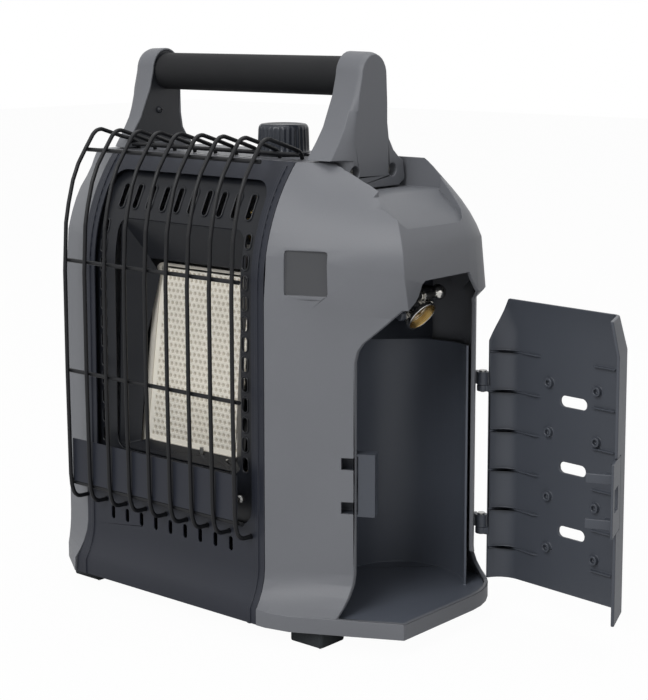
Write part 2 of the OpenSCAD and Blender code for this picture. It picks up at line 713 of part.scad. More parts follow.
module regulator_body() {
    lug = 9;
    back_z = 9;
    color(steel) at_regulator() difference() {
        union() {
            difference() {
                translate([barrel_x, 0, mouth_z]) rotate_extrude() polygon([[0, 0], [barrel_r - 0.6, 0],
                    [barrel_r, 0.6], [barrel_r, 3.5], [barrel_r - 1, 4.2], [barrel_r - 1, back_z - mouth_z - 2],
                    [barrel_r - 3, back_z - mouth_z], [0, back_z - mouth_z]]);
                for (y = [-16.5, lug / 2]) translate([0, y, 0]) rotate([-90, 0, 0]) cylinder(r = 4, h = 12);
            }
            translate([0, -lug / 2, 0]) rotate([-90, 0, 0]) cylinder(r = 5.2, h = lug);
            translate([-9, -lug / 2, -3.6]) cube([6, lug, 7.2]);
            translate([boss_at[0], -15.5, boss_at[1]]) rotate([-90, 0, 0]) cylinder(r = 3.6, h = 4);
        }
        translate([0, -10, 0]) rotate([-90, 0, 0]) cylinder(r = pin_r + 0.06, h = 20);
        translate([barrel_x, 0, mouth_z - 1]) cylinder(r = inlet_r, h = seat_z - mouth_z + 1);
        translate([barrel_x, 0, seat_z - eps]) cylinder(r = 9.1, h = 4.5);
    }
}

module regulator_cap() {
    color(slate) at_regulator() translate([boss_at[0], -15.6, boss_at[1]]) rotate([90, 0, 0])
        rotate_extrude() polygon([[0, 0], [4, 0], [3.8, 3.6], [3.1, 5], [2.4, 5.3], [0, 5.3]]);
}

module regulator_insert() {
    color(brass) at_regulator() translate([barrel_x, 0, seat_z + 0.1]) difference() {
        cylinder(r = 9, h = 4.3);
        translate([0, 0, -1]) cylinder(r = 1.2, h = 7);
    }
}

// ---- handle ----
// Side line of a post: bevel 0 on the inner face, 1 on the outer face; counter-clockwise in Y and Z
function post_line(b) = concat(
    [[lerp(-23, -18, b), pocket_z + 1 + 0.6 * b], [lerp(44, 41, b), pocket_z + 1 + 0.6 * b]],
    [[lerp(49.5, 47.7, b), 338], [lerp(49.5, 47.9, b), 342], [lerp(47, 45.6, b), 352.5]],
    [[lerp(41.5, 39.9, b), 356], [lerp(35.5, 34.1, b), 361], [lerp(29.5, 28.4, b), 370]],
    [[lerp(27.4, 26.5, b), 382], [lerp(27, 26.4, b), 397]],
    ellipse_arc(grip_y - 0.2, grip_z + 0.7, lerp(16.2, 14.5, b), lerp(18.2, 15.9, b), 0, 180, 14),
    [[lerp(-9.3, -7.4, b), 403], [lerp(-14.5, -8.8, b), 392], [lerp(-20, -10.6, b), 380]],
    [[lerp(-28, -12.2, b), 369], [lerp(-35.5, -14.1, b), 360], [lerp(-38.5, -16, b), 355.8]],
    [[lerp(-23, -14, b), 355.2]]);

function post_ring(x, b) = [for (p = post_line(b)) [x, p[0], p[1]]];
post_faces = [[0, 1, 2, 3, 4, 31], [31, 4, 5, 29, 30], [5, 6, 28, 29], [6, 7, 27, 28], [7, 8, 26, 27],
    [8, 9, 25, 26], [9, 10, 24, 25], [for (i = [10:24]) i]];

// A post of width w, its inner face at X 0
module post(w) {
    color(post_grey) difference() {
        loft([post_ring(0, 0), post_ring(w - 5, 0.18), post_ring(w - 2, 0.58), post_ring(w, 1)], post_faces);
        translate([-1, grip_y, grip_z]) rotate([0, 90, 0]) cylinder(r = 11, h = 17);
        for (y = [-11.8, 32.8]) translate([w - 7, y, 346]) rotate([0, 90, 0]) cylinder(r = 5, h = 10);
        cover_cut();
    }
}

module right_post() {
    translate([post_in, 0, 0]) post(post_w);
}

module left_post() {
    translate([left_in, 0, 0]) mirror([1, 0, 0]) post(left_post_w);
}

// Inner face area above the deck, s inside the edge
module cover_shape(s) {
    offset(delta = -s) intersection() {
        polygon(post_line(0));
        translate([-60, 357]) square([120, 100]);
    }
}

module cover_cut() {
    translate([-eps, 0, 0]) rotate([90, 0, 90]) linear_extrude(3) cover_shape(2);
}

module cover_plate() {
    translate([0.4, 0, 0]) difference() {
        rotate([90, 0, 90]) linear_extrude(2.5) cover_shape(2.2);
        translate([-1, grip_y, grip_z]) rotate([0, 90, 0]) cylinder(r = 11.1, h = 10);
        translate([-1, grip_y - 9, 385]) rotate([0, 90, 0]) cylinder(r = 1.7, h = 10);
    }
}

module right_post_cover() {
    color(black) translate([post_in, 0, 0]) cover_plate();
}

module left_post_cover() {
    color(black) translate([left_in, 0, 0]) mirror([1, 0, 0]) cover_plate();
}

module handle_tube() {
    reach = 15;
    color(steel) translate([left_in - reach, grip_y, grip_z]) rotate([0, 90, 0]) difference() {
        cylinder(r = 11, h = grip_len + 2 * reach);
        translate([0, 0, -1]) cylinder(r = 9.5, h = 300);
    }
}

module grip() {
    long = grip_len - 2 * gap;
    color(black) translate([left_in + gap, grip_y, grip_z]) rotate([0, 90, 0]) difference() {
        rotate_extrude() polygon(concat([[0, 0]], arc(grip_d / 2 - 2, 2, 2, -90, 0, 4),
            arc(grip_d / 2 - 2, long - 2, 2, 0, 90, 4), [[0, long]]));
        translate([0, 0, -1]) cylinder(r = 11.02, h = 300);
    }
}

// ---- cylinder door ----
module body_knuckle(z, h) {
    color(dark) difference() {
        union() {
            translate([hinge[0], hinge[1], z]) cylinder(r = 4.6, h = h);
            translate([hinge[0] - 12, hinge[1] - 9, z]) rotate([0, 0, 39]) cube([12, 6, h]);
        }
        translate([hinge[0], hinge[1], z - 1]) cylinder(r = 1.6, h = h + 2);
        translate([casing_right - rear_radius, casing_back - rear_radius, z - 1])
            cylinder(r = rear_radius + 0.02, h = h + 2, $fn = 128);
    }
}

module hinge_brackets() {
    for (z = [180.3, 67.3]) body_knuckle(z, 9.7);
}

module hinge_pin(z) {
    color(steel) translate([hinge[0], hinge[1], z]) {
        cylinder(r = 1.6, h = 16);
        translate([0, 0, 16]) cylinder(r = 3, h = 1.2);
    }
}

module upper_hinge_pin() {
    hinge_pin(174.1);
}

module lower_hinge_pin() {
    hinge_pin(61.1);
}

// The door in its closed place, turned open about the hinge
module on_door(angle = door_open) {
    translate([hinge[0], hinge[1], 0]) rotate([0, 0, angle]) translate([-hinge[0], -hinge[1], 0]) children();
}

skin_x = 164;
edge_turn = -62.9;
edge_out = [cos(edge_turn), sin(edge_turn)];
edge_way = [sin(edge_turn), -cos(edge_turn)];
corner_end = [skin_x - 12, -42.7] + 12 * edge_out;

// Plan line of the closed door, o inside its skin, from the hinge to the free edge
function door_line(o) = concat(arc(skin_x - 21.1, 50, 21.1 - o, 74, 0, 6),
    arc(skin_x - 12, -42.7, 12 - o, 0, edge_turn, 6), [corner_end + 31.2 * edge_way - o * edge_out]);

// Shift and height of the same points along the sloped top
function hood_shift(i) = i <= 6 ? [-9.5 * i / 6, 4 * i / 6] :
    i <= 13 ? lerp([-9.5, 1.2], [-6, 3], (i - 7) / 6) : [-2.3, 4.4];
function hood_low(i) = i <= 6 ? lerp(212, 224, i / 6) : 224;
function hood_high(i) = i <= 6 ? lerp(215, door_high, i / 6) : door_high;

// Upright section of the skin at point i: outer face from low to high, then the inner face back down
function door_section(i) = let (outer = door_line(0)[i], inner = door_line(door_t)[i], s = hood_shift(i))
    [[outer[0], outer[1], door_low], [outer[0], outer[1], hood_low(i)],
        [outer[0] + s[0], outer[1] + s[1], hood_high(i)], [inner[0] + s[0], inner[1] + s[1], hood_high(i)],
        [inner[0], inner[1], hood_low(i)], [inner[0], inner[1], door_low]];

module on_edge() {
    translate(concat(corner_end, 0)) rotate([0, 0, edge_turn]) children();
}

latch_root = 17;
latch_low = 96;
latch_high = 150;

module door() {
    free = 31.2;
    color(slate) on_door() difference() {
        union() {
            loft([for (i = [0:14]) door_section(i)], [[0, 1, 4, 5], [1, 2, 3, 4]]);
            for (z = [51, 82, 113, 144, 175, 206]) {
                translate([0, 0, z]) linear_extrude(1.4) polygon(concat([[hinge[0] - 0.5, 67.6]],
                    [for (p = door_line(door_t - 0.4)) if (p[1] > 0) p], [[161.9, 28], [158.6, 32]],
                    reversed([for (p = door_line(door_t + 1.3)) if (p[1] > 0) p])));
                translate([158.6, -42, z]) cube([3.2, 20, 1.4]);
            }
            for (y = [20, -25]) for (z = [60, 100, 150, 188]) translate([158.2, y, z])
                rotate([0, 90, 0]) cylinder(r = 3.8, h = 3.6, $fn = 32);
            for (z = [174.9, 61.9]) {
                translate([hinge[0], hinge[1], z]) cylinder(r = 4.6, h = 5);
                translate([hinge[0] - 0.5, hinge[1] - 7, z]) cube([4.5, 6, 5]);
            }
        }
        for (z = [175.6, 124.8, 75]) translate([150, -2.5 - door_slot_l / 2 + 4.25, z])
            rotate([0, 90, 0]) linear_extrude(20) polygon(concat(arc(0, 0, 4.25, 180, 360, 10),
                arc(0, door_slot_l - 8.5, 4.25, 0, 180, 10)));
        for (y = [20, -25]) for (z = [60, 100, 150, 188]) translate([158, y, z])
            rotate([0, 90, 0]) cylinder(r = 1.8, h = 3, $fn = 32);
        for (z = [174, 61]) translate([hinge[0], hinge[1], z]) cylinder(r = 1.65, h = 8);
        on_edge() translate([-6, -free - 10, latch_low - 0.5])
            cube([12, free + 10 - latch_root, latch_high - latch_low + 1]);
    }
}

module door_latch() {
    reach = 46;
    flat = -door_t;
    color(slate) on_door() on_edge() difference() {
        union() {
            translate([flat, -reach, latch_low])
                cube([door_t, reach - latch_root - 0.5, latch_high - latch_low]);
            for (z = [100.3, 133.4]) {
                translate([-21.5, -38, z]) cube([21.5 - door_t + eps, 3, 7]);
                translate([-8.5, -38, z]) cube([6.5, 7, 7]);
            }
        }
        translate([-5, -reach + 6, 113]) cube([10, reach - latch_root - 15, 17]);
        translate([-door_t - 1, -reach - 1, latch_low - 1]) cube([1.6, 5, 60]);
    }
}

// ---- feet and screws ----
foot_places = [[94.5, -59], [-146.3, -58], [94.5, 60], [-110, 60]];

module foot(i) {
    x = foot_places[i][0];
    y = foot_places[i][1];
    color(black) translate([x, y, 0]) difference() {
        translate([-foot_w / 2, -foot_d / 2, 0]) linear_extrude(base_z - 0.1)
            polygon(concat(arc(foot_w - 3, foot_d - 3, 3, 0, 90, 4), arc(3, foot_d - 3, 3, 90, 180, 4),
                arc(3, 3, 3, 180, 270, 4), arc(foot_w - 3, 3, 3, 270, 360, 4)));
        translate([0, 0, -1]) cylinder(r = 5, h = 6);
        cylinder(r = 2.2, h = 20);
    }
}

module foot_front_right() {
    foot(0);
}

module foot_front_left() {
    foot(1);
}

module foot_rear_right() {
    foot(2);
}

module foot_rear_left() {
    foot(3);
}

module screw(r, shank) {
    difference() {
        union() {
            rotate_extrude() polygon([[0, 0], [r, 0], [r, 1.2], [0.6 * r, 2.4], [0, 2.4]]);
            translate([0, 0, -shank]) cylinder(r = 0.42 * r, h = shank + 0.1);
        }
        for (a = [0, 90]) rotate([0, 0, a]) translate([-0.6 * r, -0.14 * r, 1.3]) cube([1.2 * r, 0.28 * r, 3]);
    }
}

module post_screws() {
    color(steel) {
        for (y = [-11.8, 32.8]) {
            translate([post_in + post_w - 7, y, 346]) rotate([0, 90, 0]) screw(4.2, 0);
            translate([left_in - left_post_w + 7, y, 346]) rotate([0, -90, 0]) screw(4.2, 0);
        }
    }
}

module cover_screws() {
    color(steel) {
        translate([post_in + 0.35, grip_y - 9, 385]) rotate([0, -90, 0]) screw(2.8, 2.4);
        translate([left_in - 0.35, grip_y - 9, 385]) rotate([0, 90, 0]) screw(2.8, 2.4);
    }
}

module panel_screws() {
    color(steel) for (x = [panel_x - 69.5, panel_x + 68.5]) translate([x, -77.1, 101])
        rotate([90, 0, 0]) screw(3, 0);
}

module foot_screws() {
    color(steel) for (p = foot_places) translate([p[0], p[1], 5]) mirror([0, 0, 1]) screw(4, 8.5);
}

module tip_switch() {
    color(black) translate([-95, 40, 16.1]) difference() {
        translate([-12, -12, 0]) cube([24, 24, 34]);
        translate([-9, -9, 2]) cube([18, 18, 40]);
        translate([0, 20, 29]) rotate([90, 0, 0]) cylinder(r = 1.5, h = 40);
    }
}

module tip_pendulum() {
    color(brass) translate([-95, 40, 45.1]) {
        rotate([90, 0, 0]) translate([0, 0, -11]) cylinder(r = 1.44, h = 22);
        translate([-1, -2, -18]) cube([2, 4, 18]);
        translate([0, 0, -19]) cylinder(r = 4, h = 8);
    }
}

base_pan();
left_shell();
right_shell();
bay_liner();
bay_ceiling();
latch_receiver();
front_panel();
top_louvre();
slotted_plate();
reflector();
tile_frame();
tile_clips();
ceramic_tile();
tile_gasket();
burner_plenum();
heat_shield();
injector();
wire_guard();
guard_plate();
gas_valve();
valve_spring();
thrust_washer();
valve_stem();
control_knob();
igniter();
gas_tube();
pilot_tube();
pilot_burner();
thermocouple();
electrode();
gas_arm();
regulator_body();
regulator_cap();
regulator_insert();
left_post();
right_post();
left_post_cover();
right_post_cover();
handle_tube();
grip();
hinge_brackets();
upper_hinge_pin();
lower_hinge_pin();
door();
door_latch();
foot_front_right();
foot_front_left();
foot_rear_right();
foot_rear_left();
tip_switch();
tip_pendulum();
post_screws();
cover_screws();
panel_screws();
foot_screws();
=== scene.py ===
import json
import math

import bmesh
import bpy
from mathutils import Matrix, Vector
from mathutils.bvhtree import BVHTree


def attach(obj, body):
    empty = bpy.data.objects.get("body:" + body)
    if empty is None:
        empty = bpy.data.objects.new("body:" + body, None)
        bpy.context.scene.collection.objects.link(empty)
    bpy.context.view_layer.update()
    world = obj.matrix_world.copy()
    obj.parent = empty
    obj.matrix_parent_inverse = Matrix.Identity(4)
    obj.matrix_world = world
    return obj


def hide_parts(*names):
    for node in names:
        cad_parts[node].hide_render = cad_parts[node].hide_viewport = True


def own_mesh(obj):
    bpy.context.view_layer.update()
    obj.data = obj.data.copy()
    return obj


print("Loading the heater")
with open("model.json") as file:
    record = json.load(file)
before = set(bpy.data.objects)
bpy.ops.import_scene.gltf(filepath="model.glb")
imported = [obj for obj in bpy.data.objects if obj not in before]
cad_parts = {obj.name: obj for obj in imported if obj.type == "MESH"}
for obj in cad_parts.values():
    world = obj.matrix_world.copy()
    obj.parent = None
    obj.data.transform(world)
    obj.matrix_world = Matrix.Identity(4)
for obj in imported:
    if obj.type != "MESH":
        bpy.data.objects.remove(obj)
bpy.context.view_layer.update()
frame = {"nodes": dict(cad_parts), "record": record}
cadNodes = frame["nodes"]
bodies = frame["record"]["behaviour"]["bodies"]
bodyOf = {node: body for body, nodes in bodies.items() for node in nodes}
slotOf = {part["node"]: part["material_slot"] for part in frame["record"]["subparts"]}
mm = 0.001
white = (1.0, 1.0, 1.0, 1.0)


def placed(name, data):
    thing = bpy.data.objects.new(name, data)
    bpy.context.scene.collection.objects.link(thing)
    return thing


def aimed(thing, place, way):  # stands at a place and looks along a direction
    thing.location = place
    thing.rotation_mode = "QUATERNION"
    thing.rotation_quaternion = way.to_track_quat("-Z", "Y")


print("Camera")
cameraSetup = {
    "place": (901.8, -1002.7, 461.0),  # mm
    "azimuth": 40.32,  # degrees from the front towards the door
    "drop": 7.51,  # degrees that it looks down
    "lens": 88.94,
    "sensor": 36,
    "shiftY": -0.15,
    "near": 0.05,  # metres, as far
    "far": 20,
}


def addCamera():
    data = bpy.data.cameras.new("camera")
    data.lens = cameraSetup["lens"]
    data.sensor_width = cameraSetup["sensor"]
    data.shift_y = cameraSetup["shiftY"]
    data.clip_start, data.clip_end = cameraSetup["near"], cameraSetup["far"]
    turn, drop = math.radians(cameraSetup["azimuth"]), math.radians(cameraSetup["drop"])
    level = math.cos(drop)
    back = Vector((math.sin(turn) * level, -math.cos(turn) * level, math.sin(drop)))
    camera = placed("camera", data)
    aimed(camera, Vector(cameraSetup["place"]) * mm, -back)
    bpy.context.scene.camera = camera


addCamera()


def linear(red, green, blue):  # from screen values of 0 to 255
    def one(value):
        value /= 255
        return value / 12.92 if value <= 0.04045 else ((value + 0.055) / 1.055) ** 2.4
    return (one(red), one(green), one(blue), 1.0)


def scaled(colour, share):
    return (colour[0] * share, colour[1] * share, colour[2] * share, 1.0)


# A socket that can stand in a sum
class Wire:
    def __init__(self, graph, socket):
        self.graph = graph
        self.socket = socket

    def maths(self, operation, *values):
        return self.graph.add("ShaderNodeMath", {"operation": operation}, dict(enumerate(values)))

    def __add__(self, other):
        return self.maths("ADD", self, other)

    def __radd__(self, other):
        return self.maths("ADD", other, self)

    def __sub__(self, other):
        return self.maths("SUBTRACT", self, other)

    def __rsub__(self, other):
        return self.maths("SUBTRACT", other, self)

    def __mul__(self, other):
        return self.maths("MULTIPLY", self, other)

    def __rmul__(self, other):
        return self.maths("MULTIPLY", other, self)

    def __truediv__(self, other):
        return self.maths("DIVIDE", self, other)

    def __rtruediv__(self, other):
        return self.maths("DIVIDE", other, self)

    def __pow__(self, other):
        return self.maths("POWER", self, other)

    def __mod__(self, other):
        return self.maths("FLOORED_MODULO", self, other)

    def least(self, other):
        return self.maths("MINIMUM", self, other)

    def most(self, other):
        return self.maths("MAXIMUM", self, other)

    def angle(self, other):  # of the point (other, self) about the origin
        return self.maths("ARCTAN2", self, other)

    def cosine(self):
        return self.maths("COSINE", self)

    def eased(self, low, high):  # 0 at low, 1 at high
        return self.graph.add("ShaderNodeMapRange",
                              {"interpolation_type": "SMOOTHSTEP", "clamp": True},
                              {"Value": self, "From Min": low, "From Max": high,
                               "To Min": 0.0, "To Max": 1.0})


# A node tree that is built by adding nodes one at a time
class Graph:
    def __init__(self, tree):
        self.tree = tree
        tree.nodes.clear()

    def add(self, kind, settings=(), links=(), output=0):
        node = self.tree.nodes.new(kind)
        for name, value in dict(settings).items():
            setattr(node, name, value)
        for key, value in dict(links).items():
            for one in value if isinstance(value, list) else [value]:
                if isinstance(one, Wire):
                    self.tree.links.new(one.socket, node.inputs[key])
                else:
                    node.inputs[key].default_value = one
        return Wire(self, node.outputs[output]) if node.outputs else None

    def parts(self, place):  # the three numbers of a place
        first = self.add("ShaderNodeSeparateXYZ", {}, {0: place})
        return [Wire(self, socket) for socket in first.socket.node.outputs]

    def joined(self, x, y, z):
        return self.add("ShaderNodeCombineXYZ", {}, {0: x, 1: y, 2: z})


# One material
class Paint(Graph):
    def __init__(self, name):
        self.material = bpy.data.materials.new(name)
        self.material.use_nodes = True
        super().__init__(self.material.node_tree)
        self.place = self.add("ShaderNodeTexCoord", {}, {}, "Object")

    def stretched(self, scale, turn=(0, 0, 0), move=(0, 0, 0)):
        return self.add("ShaderNodeMapping", {"vector_type": "POINT"},
                        {"Vector": self.place, "Location": move, "Rotation": turn, "Scale": scale})

    def seenFrom(self, middle, turn):  # a place's three numbers in a turned frame
        back = turn.inverted()
        return self.parts(self.stretched((1, 1, 1), back.to_euler(), back @ -middle))

    def noise(self, scale, detail, roughness, place=None):
        return self.add("ShaderNodeTexNoise", {}, {"Vector": place or self.place, "Scale": scale,
                                                   "Detail": detail, "Roughness": roughness})

    def mixed(self, share, first, second):
        return self.add("ShaderNodeMix", {"data_type": "RGBA"}, {0: share, 6: first, 7: second}, 2)

    def bump(self, height, distance, strength):
        return self.add("ShaderNodeBump", {},
                        {"Height": height, "Distance": distance, "Strength": strength})

    def surfaced(self, shader):
        self.add("ShaderNodeOutputMaterial", {}, {"Surface": shader})
        return self.material

    def finish(self, fixed, varied):
        return self.surfaced(self.add("ShaderNodeBsdfPrincipled", {}, {**fixed, **varied}))


# One shape that follows a rule, grown from a piece's first mesh
class Plan(Graph):
    def __init__(self, name, sizes, finish):
        super().__init__(bpy.data.node_groups.new(name, "GeometryNodeTree"))
        face = self.tree.interface
        face.new_socket("Geometry", in_out="INPUT", socket_type="NodeSocketGeometry")
        face.new_socket("Geometry", in_out="OUTPUT", socket_type="NodeSocketGeometry")
        self.values = {}
        for label, value in {**sizes, "Finish": finish}.items():
            kind = "Material" if label == "Finish" else "Int" if isinstance(value, int) else "Float"
            socket = face.new_socket(label, in_out="INPUT", socket_type="NodeSocket" + kind)
            self.values[socket.identifier] = value
        self.inlet = self.add("NodeGroupInput").socket.node

    def given(self, label):
        return Wire(self, self.inlet.outputs[label])

    def grow(self, piece, result):
        whole = self.add("GeometryNodeRealizeInstances", {}, {"Geometry": result})
        done = self.add("GeometryNodeSetMaterial", {},
                        {"Geometry": whole, "Material": self.given("Finish")})
        self.add("NodeGroupOutput", {}, {0: done})
        modifier = piece.modifiers.new("plan", "NODES")
        modifier.node_group = self.tree
        for identifier, value in self.values.items():
            modifier[identifier] = value
        return settled(piece)


def newPiece(name, points, edges=(), faces=()):  # points in mm
    mesh = bpy.data.meshes.new(name)
    mesh.from_pydata([Vector(point) * mm for point in points], edges, faces)
    return placed(name, mesh)


def turned(line, steps):  # points and faces of a line of (radius, height) turned about the upright
    points, faces, rings = [], [], []
    for radius, height in line:
        count = steps if radius > 0 else 1
        rings.append(range(len(points), len(points) + count))
        for i in range(count):
            angle = math.tau * i / steps
            points.append((radius * math.cos(angle), radius * math.sin(angle), height))
    for low, high in zip(rings, rings[1:]):
        for i in range(steps):
            j = (i + 1) % steps
            face = [low[i % len(low)], low[j % len(low)], high[j % len(high)], high[i % len(high)]]
            faces.append(list(dict.fromkeys(face)))
    return points, faces


def settled(piece):  # the modifiers' result becomes the mesh
    depsgraph = bpy.context.evaluated_depsgraph_get()
    mesh = bpy.data.meshes.new_from_object(piece.evaluated_get(depsgraph),
                                           preserve_all_data_layers=True, depsgraph=depsgraph)
    piece.modifiers.clear()
    first = piece.data
    piece.data = mesh
    bpy.data.meshes.remove(first)
    return piece


def shaded(piece, sharp=40):
    piece.data.shade_smooth()
    piece.data.set_sharp_from_angle(angle=math.radians(sharp))
    return piece


def dressed(thing, material):
    thing.data.materials.clear()
    thing.data.materials.append(material)


def fixedOn(piece, body, slotName, *stoodFor):
    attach(piece, body)
    if stoodFor:
        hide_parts(*stoodFor)
    return piece


# The finishes: scales are bumps per metre, tints are shares of the colour, heights are metres
print("Finishes")
shadedBadgePad = {  # square recess on the shell, its face painted darker: painted shade in the recess
    "middle": Vector((91.4, -68.4, 276.8)) * mm,
    "turn": 23,
    "tilt": -2.5,
    "half": 0.0163,
    "edge": (-0.0003, 0.0001),  # where its colour fades, from the half width
    "reach": (0.003, 0.004),  # off the pad's plane
    "shade": 0.34,
}


def onPad(paint, pad):  # 1 on the pad, 0 off it: where the painted shade goes
    turn = (Matrix.Rotation(math.radians(pad["turn"]), 3, "Z")
            @ Matrix.Rotation(math.radians(pad["tilt"]), 3, "X"))
    x, y, z = paint.seenFrom(pad["middle"], turn)
    out = (x * x).most(z * z) ** 0.5
    inner, outer = pad["edge"]
    low, high = pad["reach"]
    near = 1 - (y * y).eased(low ** 2, high ** 2)
    return (1 - out.eased(pad["half"] + inner, pad["half"] + outer)) * near


plastic = {
    "cloudScale": 16,
    "mottle": 0.07,
    "wornScale": 90,
    "wornShare": 0.1,
    "wornTint": 1.5,
    "grainShare": 0.14,
    "grainTint": 0.72,
    "grainStrength": 0.7,
    "patchyRoughness": 0.12,  # how far it varies, as the next
    "fineRoughness": 0.1,
    "gloss": 0.42,
}
satin = {"grain": 0.00003, "grainScale": 1800}


def mouldedPlastic(name, colour, roughness, grain=0.00005, grainScale=1400, pad=None):
    paint = Paint(name)
    cloud = paint.noise(plastic["cloudScale"], detail=4, roughness=0.6)
    fine = paint.noise(grainScale, detail=2, roughness=0.65)
    worn = paint.noise(plastic["wornScale"], detail=5, roughness=0.7,
                       place=paint.stretched((1, 1, 0.3))).eased(0.62, 0.8)
    tint = paint.mixed(cloud, scaled(colour, 1 - plastic["mottle"]),
                       scaled(colour, 1 + plastic["mottle"]))
    tint = paint.mixed(worn * plastic["wornShare"], tint, scaled(colour, plastic["wornTint"]))
    tint = paint.mixed(fine.eased(0.3, 0.75) * plastic["grainShare"], tint,
                       scaled(colour, plastic["grainTint"]))
    if pad:
        # painted shade: the recessed pad is darker
        tint = paint.mixed(onPad(paint, pad), tint, scaled(colour, pad["shade"]))
    return paint.finish({"Specular IOR Level": plastic["gloss"]}, {
        "Base Color": tint,
        "Roughness": (roughness + (cloud - 0.5) * plastic["patchyRoughness"]
                      + (fine - 0.5) * plastic["fineRoughness"]),
        "Normal": paint.bump(fine, grain, plastic["grainStrength"]),
    })


spray = {
    "cloudScale": 11,
    "mottle": 0.12,
    "peelScale": 420,
    "peel": 0.00006,
    "peelStrength": 0.6,
    "speckScale": 2600,
    "speckShare": 0.25,
    "speckTint": 1.9,
    "patchyRoughness": 0.14,
    "fineRoughness": 0.08,
    "gloss": 0.34,
}


def sprayedPaint(name, colour, roughness):
    paint = Paint(name)
    cloud = paint.noise(spray["cloudScale"], detail=3, roughness=0.5)
    orange = paint.noise(spray["peelScale"], detail=3, roughness=0.5)
    speck = paint.noise(spray["speckScale"], detail=1, roughness=0.5)
    tint = paint.mixed(cloud, scaled(colour, 1 - spray["mottle"]),
                       scaled(colour, 1 + spray["mottle"]))
    tint = paint.mixed(speck.eased(0.6, 0.8) * spray["speckShare"], tint,
                       scaled(colour, spray["speckTint"]))
    return paint.finish({"Specular IOR Level": spray["gloss"]}, {
        "Base Color": tint,
        "Roughness": (roughness + (cloud - 0.5) * spray["patchyRoughness"]
                      + (orange - 0.5) * spray["fineRoughness"]),
        "Normal": paint.bump(orange, spray["peel"], spray["peelStrength"]),
    })


enamel = {
    "cloudScale": 60,
    "darkTint": 0.8,
    "paleTint": 1.3,
    "runScale": 300,
    "runHeight": 0.0001,
    "runStrength": 0.5,
    "roughness": 0.34,
    "runRoughness": 0.16,
    "gloss": 0.3,
}


def enamelWire(name, colour):
    paint = Paint(name)
    cloud = paint.noise(enamel["cloudScale"], detail=3, roughness=0.55)
    runs = paint.noise(enamel["runScale"], detail=2, roughness=0.5,
                       place=paint.stretched((1, 1, 0.35)))
    tint = paint.mixed(cloud, scaled(colour, enamel["darkTint"]),
                       scaled(colour, enamel["paleTint"]))
    return paint.finish({"Specular IOR Level": enamel["gloss"]}, {
        "Base Color": tint,
        "Roughness": enamel["roughness"] + runs * enamel["runRoughness"],
        "Normal": paint.bump(runs, enamel["runHeight"], enamel["runStrength"]),
    })


metal = {
    "lineScale": 160,
    "lineHeight": 0.00004,
    "lineShare": 0.2,
    "lineTint": 0.75,
    "lineStrength": 0.4,
    "lineRoughness": 0.12,
    "cloudScale": 40,
    "stainTint": 0.88,
    "stainRoughness": 0.06,
    "leastMetallic": 0.96,
}
evenly = (1, 1, 1)


def polishedMetal(name, colour, roughness, brush):  # brush stretches the lines
    paint = Paint(name)
    lines = paint.noise(metal["lineScale"], detail=3, roughness=0.6, place=paint.stretched(brush))
    cloud = paint.noise(metal["cloudScale"], detail=4, roughness=0.6)
    tint = paint.mixed(cloud, scaled(colour, metal["stainTint"]), colour)
    tint = paint.mixed(lines.eased(0.45, 0.85) * metal["lineShare"], tint,
                       scaled(colour, metal["lineTint"]))
    return paint.finish({}, {
        "Base Color": tint,
        "Metallic": metal["leastMetallic"] + cloud * (1 - metal["leastMetallic"]),
        "Roughness": (roughness + (lines - 0.5) * metal["lineRoughness"]
                      + (cloud - 0.5) * metal["stainRoughness"]),
        "Normal": paint.bump(lines, metal["lineHeight"], metal["lineStrength"]),
    })


plate = {  # the perforated ceramic, in metres in the burner's own leaning frame
    "foot": Vector((-33.5, -62, 117)) * mm,
    "lean": 7.6,
    "halfWidth": 0.053,
    "low": 0.004,
    "high": 0.147,
    "front": 0.0013,
    "thick": 0.013,
    "pitch": 0.0048,
    "dimple": 0.0022,
    "floorShare": 0.12,  # flat middle of a dimple
    "depth": 0.0011,
    "border": 0.0128,  # plain strip below the dimples
    "margin": -0.0465,  # and beside them
    "fade": 0.0004,
    "step": 0.0006,  # of the mesh
    "dimpleShade": (0.0006, 0.0023),  # how far a dimple's painted shade goes
    "holePitch": (0.0016, 0.00277),
    "hole": (0.00025, 0.00055),
    "inShade": 0.0478,  # painted shade starts here, past the reflector's edge inside the casing
    "shadeFade": 0.001,
    "pale": (linear(246, 240, 226), linear(252, 249, 240)),
    "cloudScale": 25,
    # painted shade in the holes and the dimples: their colours are darker than the plate
    "holeColour": linear(170, 158, 138),
    "holeShare": 0.3,
    "dimpleColour": linear(158, 146, 124),
    "dimpleShare": 0.6,
    # painted shade on the plate past the reflector's edge
    "shadeColour": linear(34, 32, 30),
    "gritScale": 2200,
    "grit": 0.06,  # heights as shares of the relief
    "holeDepth": 0.4,
    "relief": 0.0006,
    "reliefStrength": 0.8,
    "roughness": 0.85,
    "patchyRoughness": 0.1,
    "gloss": 0.25,
}


def inBurner(paint):  # across, back and up
    return paint.seenFrom(plate["foot"], Matrix.Rotation(-math.radians(plate["lean"]), 3, "X"))


def staggered(across, up, wide, tall):  # distance to the nearest point of a staggered grid
    def apart(shift):
        x = ((across / wide + shift) % 1.0 - 0.5) * wide
        z = ((up / tall + shift) % 1.0 - 0.5) * tall
        return (x * x + z * z) ** 0.5
    return apart(0.0).least(apart(0.5))


def nearestDimple(across, up):
    return staggered(across, up, plate["pitch"], 2 * plate["pitch"])


def perforated(across, up):  # 1 where the plate has dimples, 0 on its plain strips
    return (up.eased(plate["border"], plate["border"] + plate["fade"])
            * across.eased(plate["margin"], plate["margin"] + plate["fade"]))


def pastReflector(across):
    return across.eased(plate["inShade"], plate["inShade"] + plate["shadeFade"])


